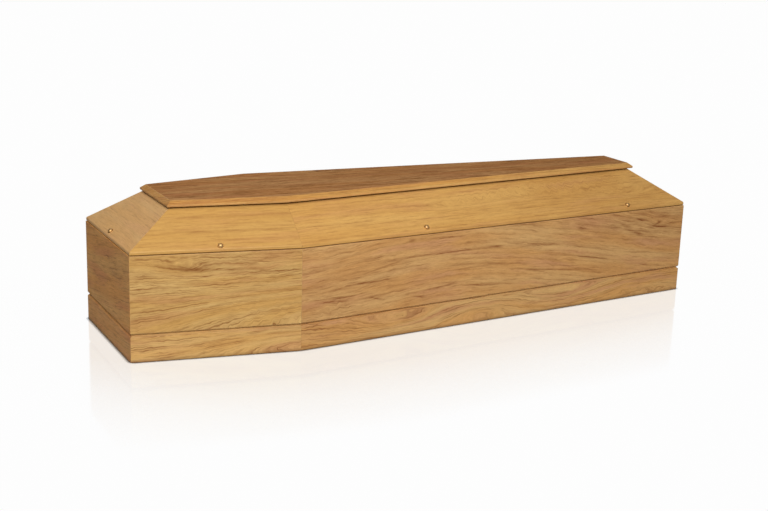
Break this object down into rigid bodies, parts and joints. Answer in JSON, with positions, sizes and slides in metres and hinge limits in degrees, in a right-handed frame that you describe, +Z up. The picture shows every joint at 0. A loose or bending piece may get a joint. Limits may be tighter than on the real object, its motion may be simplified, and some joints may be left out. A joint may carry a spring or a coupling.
{
  "type": "coffin",
  "caption": "Six-sided shouldered oak coffin with a grooved base row, a sloping lid with a flat bevelled top plate, and small domed brass caps.",
  "frame": {"origin": "on the ground under the middle of the coffin's box", "axes": "+X from the head end to the foot end, +Y to the left side of someone lying inside on their back, +Z up"},
  "size_m": [2, 0.6258, 0.441],
  "materials": {
    "wall_oak": "oak, satin varnish, lively figure, grain along each board",
    "base_oak": "oak, satin varnish, grain along each board",
    "lid_oak": "pale straight-grained oak, satin varnish",
    "plate_oak": "oak, satin varnish, darker top",
    "floor_oak": "plain sawn oak, unvarnished",
    "brass": "polished, slightly dulled"
  },
  "bodies": {
    "root": {"floor_board": "floor_oak", "base_right_shoulder": "base_oak", "base_right_side": "base_oak", "base_foot": "base_oak", "base_left_side": "base_oak", "base_left_shoulder": "base_oak", "base_head": "base_oak", "wall_right_shoulder": "wall_oak", "wall_right_side": "wall_oak", "wall_foot": "wall_oak", "wall_left_side": "wall_oak", "wall_left_shoulder": "wall_oak", "wall_head": "wall_oak", "lid_right_shoulder": "lid_oak", "lid_right_side": "lid_oak", "lid_foot": "lid_oak", "lid_left_side": "lid_oak", "lid_left_shoulder": "lid_oak", "lid_head": "lid_oak", "lid_top_plate": "plate_oak", "cap_head": "brass", "cap_foot": "brass", "cap_right_shoulder": "brass", "cap_left_shoulder": "brass", "cap_right_middle": "brass", "cap_left_middle": "brass", "cap_right_foot": "brass", "cap_left_foot": "brass"}
  },
  "joints": []
}
